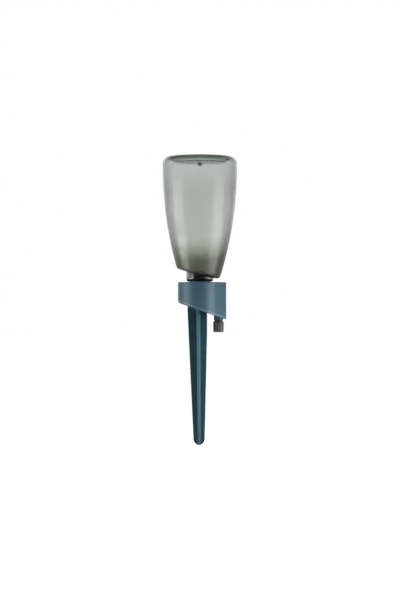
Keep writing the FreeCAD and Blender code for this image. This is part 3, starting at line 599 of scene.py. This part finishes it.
def shade_base(kit, colour):
    """Colour with painted shade in the recess of the base, and darker along its standing ring,
    partly the thick ring's deeper tint and partly painted shade.
    """
    floor = TOP - PUNT_DEPTH
    ring = RADIUS - CORNER
    # Painted shade in the recess of the base.
    across = kit.add("VectorMath", operation="LENGTH")
    kit.feed(across.inputs[0], kit.place((1, 1, 0)))
    within = kit.rate(across.outputs["Value"], (ring * MM, (ring + RECESS_FADE) * MM), (1.0, 0.0))
    recess = kit.math("MULTIPLY", within, kit.level(floor, floor + RECESS_RISE))
    shaded = kit.mix(recess, colour, (0.34, 0.36, 0.33, 1), "MULTIPLY")
    # Darker towards the standing ring: partly the thick ring's tint, partly painted shade.
    edge = kit.ramp(kit.level(floor, TOP), (0.0, grey(1)), (0.5, (0.9, 0.91, 0.88, 1)),
                    (1.0, (0.5, 0.52, 0.48, 1)))
    return kit.mix(1.0, shaded, edge, "MULTIPLY")


def smoky_plastic():
    """Bottle: smoky clear plastic with a pebbled skin, clearer above, browner and darker towards
    the neck, partly its smoky tint and partly painted shade.

    Its tint deepens and its coat fades where the wall is seen at a steep angle, since the way
    through the wall is longer there. Towards the shoulder the edges are darker still, and the skin
    is finely speckled.
    """
    kit = Material("smoky_plastic")
    facing = kit.add("LayerWeight").outputs["Facing"]
    through = kit.ramp(facing, (0.60, grey(1)), (0.72, grey(0.82)), (1.0, grey(0.65)))
    colour = kit.mix(1.0, shade_base(kit, smoke_and_shade(kit)), through, "MULTIPLY")
    edges = kit.ramp(facing, (0.24, grey(1)), (0.50, grey(0.69)))
    grains = kit.noise(900.0, detail=0.0)
    speckle = kit.ramp(grains, (0.38, grey(0.50)), (0.58, grey(1.05)))
    mottle = kit.mix(kit.level(*SPECKLE), edges, speckle, "MULTIPLY")
    pebble = kit.noise(700.0, detail=1.5)
    kit.bump(pebble, strength=0.12, distance=0.0002)
    return kit.finish({
        "Base Color": kit.mix(kit.level(*DARK_EDGES), colour, mottle, "MULTIPLY"),
        "Roughness": kit.rate(pebble, target=(0.09, 0.15)),
        "Transmission Weight": 0.96,
        "IOR": 1.2,
        "Coat Weight": kit.rate(facing, source=(0.6, 0.85), target=(1.0, 0.1)),
        "Coat Roughness": 0.4,
        "Coat IOR": 1.5,
    })


def clear_plastic():
    """Neck and spout: clearer and glossier than the bottle's pebbled skin."""
    kit = Material("clear_plastic")
    swirl = kit.noise(160.0, detail=2.0)
    return kit.finish({
        "Base Color": kit.ramp(swirl, (0.3, (0.36, 0.38, 0.35, 1)), (0.7, (0.42, 0.44, 0.41, 1))),
        "Roughness": kit.rate(swirl, target=(0.03, 0.07)),
        "Transmission Weight": 1.0,
        "IOR": 1.3,
    })


def ribbed_plastic():
    """Spike: dark teal, with painted highlight along the outer edges of the front and back ribs."""
    kit = Material("spike_plastic")
    cloud = kit.cloud()
    kit.grain()
    dark = kit.ramp(cloud, (0.3, srgb(22, 60, 72)), (0.7, srgb(26, 66, 79)))
    pale = kit.ramp(cloud, (0.3, srgb(55, 87, 98)), (0.7, srgb(60, 92, 103)))
    where = kit.coordinates("Object")
    low = RIB_LEVELS[0][0]
    high, widest = RIB_LEVELS[-1]
    outline = [((level - low) / (high - low), grey(out / widest)) for level, out in RIB_LEVELS]
    share = kit.rate(where["Z"], (low * MM, high * MM))
    reach = kit.math("MULTIPLY", kit.ramp(share, *outline), widest * MM)
    depth = kit.math("SUBTRACT", reach, kit.math("ABSOLUTE", where["Y"]))
    # Painted highlight: paler along the ribs' outer edges, where they catch the light.
    edge = kit.rate(depth, [depth_mm * MM for depth_mm in RIB_HIGHLIGHT])
    return kit.finish({
        "Base Color": kit.mix(edge, pale, dark),
        "Roughness": kit.rate(cloud, target=(0.20, 0.30)),
        "Specular IOR Level": 0.4,
    })


def knurled_plastic():
    """Knob: dark grey, with pale and dark streaks along its flutes."""
    kit = Material("knob_plastic")
    streak = kit.noise(1.0, 2.0, kit.place(scale=(900, 900, 260)))
    kit.bump(streak, strength=0.3, distance=0.0002)
    return kit.finish({
        "Base Color": kit.ramp(streak, (0.35, srgb(28, 28, 29)), (0.65, srgb(73, 72, 73))),
        "Roughness": kit.rate(streak, target=(0.42, 0.58)),
    })


def woven_mesh():
    """Filter mesh: two crossed sets of fine threads."""
    kit = Material("woven_mesh")
    where = kit.place()
    threads = []
    for direction in ("Z", "DIAGONAL"):
        wave = kit.add("TexWave", bands_direction=direction)
        wave.inputs["Scale"].default_value = 600.0
        kit.feed(wave.inputs["Vector"], where)
        threads.append(wave.outputs["Fac"])
    both = kit.math("MAXIMUM", *threads)
    kit.bump(both, strength=0.6, distance=0.0002)
    return kit.finish({
        "Base Color": kit.ramp(both, (0.3, grey(0.004)), (0.9, grey(0.03))),
        "Roughness": 0.6,
    })


def white_floor():
    """White floor that glows a little to the eye, so that it meets the white surroundings."""
    kit = Material("white_floor")
    cloud = kit.noise(3.0, detail=2.0)
    path = kit.add("LightPath").outputs
    seen = kit.math("MULTIPLY_ADD", path["Is Transmission Ray"], 0.7, path["Is Camera Ray"])
    return kit.finish({
        "Base Color": kit.ramp(cloud, (0.3, grey(0.88)), (0.7, grey(0.9))),
        "Roughness": 0.9,
        "Specular IOR Level": 0.1,
        "Emission Color": grey(1),
        "Emission Strength": kit.rate(seen, target=(0.25, 0.94)),
    })


def make_stage():
    """Pale floor just under the spike's tip."""
    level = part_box("spike")[0].z - FLOOR_GAP
    half = FLOOR_HALF
    mesh = bpy.data.meshes.new("floor")
    mesh.from_pydata([(-half, -half, level), (half, -half, level), (half, half, level),
                      (-half, half, level)], [], [(0, 1, 2, 3)])
    made = bpy.data.objects.new("floor", mesh)
    bpy.context.scene.collection.objects.link(made)
    mesh.materials.append(white_floor())


def make_world():
    """Studio surroundings: white behind the object, dim in front of it and above.

    The eye sees them white all round. Through the clear bottle they are also white in front, so
    that it looks the same from behind.
    """
    world = bpy.data.worlds.new("world")
    world.use_nodes = True
    kit = Tree(world.node_tree)
    where = kit.coordinates("Generated")
    behind = kit.rate(where["Y"], FRONT_TO_BACK, (FRONT_LIGHT, 1.0), smooth=True)
    overhead = kit.rate(where["Z"], LEVEL_TO_OVERHEAD, (1.0, OVERHEAD_LIGHT), smooth=True)
    aside = kit.math("ABSOLUTE", where["X"])
    sides = kit.rate(aside, MIDDLE_TO_SIDE, (1.0, SIDE_LIGHT), smooth=True)
    dimmed = kit.math("MULTIPLY", kit.math("MULTIPLY", behind, overhead), sides)
    path = kit.add("LightPath").outputs
    front = kit.rate(kit.math("MULTIPLY", where["Y"], -1.0), FRONT_TO_BACK, smooth=True)
    passed = kit.math("MULTIPLY", front, path["Is Transmission Ray"])
    lit = kit.math("MAXIMUM", dimmed, passed)
    background = kit.tree.nodes["Background"].inputs
    kit.feed(background["Color"], grey(1))
    kit.feed(background["Strength"], kit.math("MAXIMUM", path["Is Camera Ray"], lit))
    bpy.context.scene.world = world


def make_camera():
    """Camera level with the middle of the photograph, looking along +Y."""
    data = bpy.data.cameras.new("camera")
    camera = bpy.data.objects.new("camera", data)
    bpy.context.scene.collection.objects.link(camera)
    middle_x = (IMAGE_SIZE[0] / 2 - AXIS_PX) * MM_PER_PX * MM
    middle_z = (SOIL_PX - IMAGE_SIZE[1] / 2) * MM_PER_PX * MM
    camera.location = (middle_x, -CAMERA_DISTANCE, middle_z)
    camera.rotation_euler = (math.pi / 2, 0, 0)
    data.sensor_fit = "VERTICAL"
    data.sensor_height = SENSOR_HEIGHT
    data.lens = SENSOR_HEIGHT * CAMERA_DISTANCE / (IMAGE_SIZE[1] * MM_PER_PX * MM)
    bpy.context.scene.camera = camera


def aimed_lamp(data, location, level):
    """Lamp that points at a level of the bottle's axis and isn't seen through the bottle."""
    made = bpy.data.objects.new(data.name, data)
    made.location = location
    way = Vector((0, 0, level)) - Vector(location)
    made.rotation_euler = way.to_track_quat("-Z", "Y").to_euler()
    made.visible_transmission = False
    bpy.context.scene.collection.objects.link(made)
    return made


def panel(name, location, level, size, power):
    """Soft rectangular lamp, in metres and watts."""
    data = bpy.data.lights.new(name, "AREA")
    data.shape = "RECTANGLE"
    data.size, data.size_y = size
    data.energy = power
    aimed_lamp(data, location, level)


def spot(name, location, level, degrees, power):
    """Narrow lamp for one part of the object, in metres and watts, that isn't reflected."""
    data = bpy.data.lights.new(name, "SPOT")
    data.spot_size = math.radians(degrees)
    data.spot_blend = 0.5
    data.shadow_soft_size = 0.10
    data.energy = power
    aimed_lamp(data, location, level).visible_glossy = False


def make_lamps():
    """Panels on both sides of the bottle and of the head and spike, and one above the camera."""
    panel("key_right", (0.345, -0.196, 0.12), level=0.12, size=(0.26, 0.12), power=0.38)
    panel("low_right", (0.357, -0.174, -0.025), level=-0.025, size=(0.34, 0.19), power=0.82)
    panel("fill_left", (-0.39, -0.12, 0.115), level=0.115, size=(0.28, 0.13), power=0.56)
    panel("low_left", (-0.39, -0.12, -0.055), level=-0.055, size=(0.28, 0.15), power=0.66)
    spot("spike_right", (0.46, -0.34, -0.055), level=-0.055, degrees=14, power=26)
    panel("front_top", (0, -1.0, 0.9), level=0.05, size=(0.8, 0.5), power=1.6)


def dress():
    """Materials of every piece, and the pieces that scene.py makes itself."""
    head = head_plastic()
    plate = moulded("plate_plastic", srgb(24, 58, 70), srgb(20, 52, 64), roughness=0.16)
    black = moulded("black_plastic", srgb(15, 15, 15), srgb(11, 11, 11), roughness=0.38, specular=0.2)
    valve = moulded("valve_plastic", srgb(26, 26, 27), srgb(18, 18, 19), roughness=0.35)
    white = moulded("needle_plastic", srgb(225, 225, 220), srgb(215, 215, 208), roughness=0.35)
    rubber = moulded("black_rubber", srgb(12, 12, 12), srgb(8, 8, 8), roughness=0.55, specular=0.15)
    silicone = moulded("seat_silicone", srgb(170, 60, 48), srgb(155, 52, 42), roughness=0.5)
    bottle = smoky_plastic()
    materials = {
        "head_shell": head, "base_plate": plate, "spike": ribbed_plastic(),
        "inlet_strainer": black, "strainer_mesh": woven_mesh(),
        "regulator_knob": knurled_plastic(), "metering_needle": white, "valve_seat": silicone,
        "vent_valve": rubber, "neck_seal": rubber, "chamber_gasket": rubber,
        "spigot_ring": rubber, "nose_ring": rubber,
    }
    for name, material in materials.items():
        slots = nodes[name].data.materials
        slots.clear()
        slots.append(material)
    make_bottle(bottle, clear_plastic())
    make_valve_body(valve)
    make_thread("spout_thread", FINISH, SPOUT_THREAD, "bottle", bottle)
    make_thread("socket_thread", SOCKET, SOCKET_THREAD, "root", head, inward=True)


dress()
make_stage()
make_world()
make_camera()
make_lamps()
bpy.context.scene.view_settings.view_transform = "Standard"
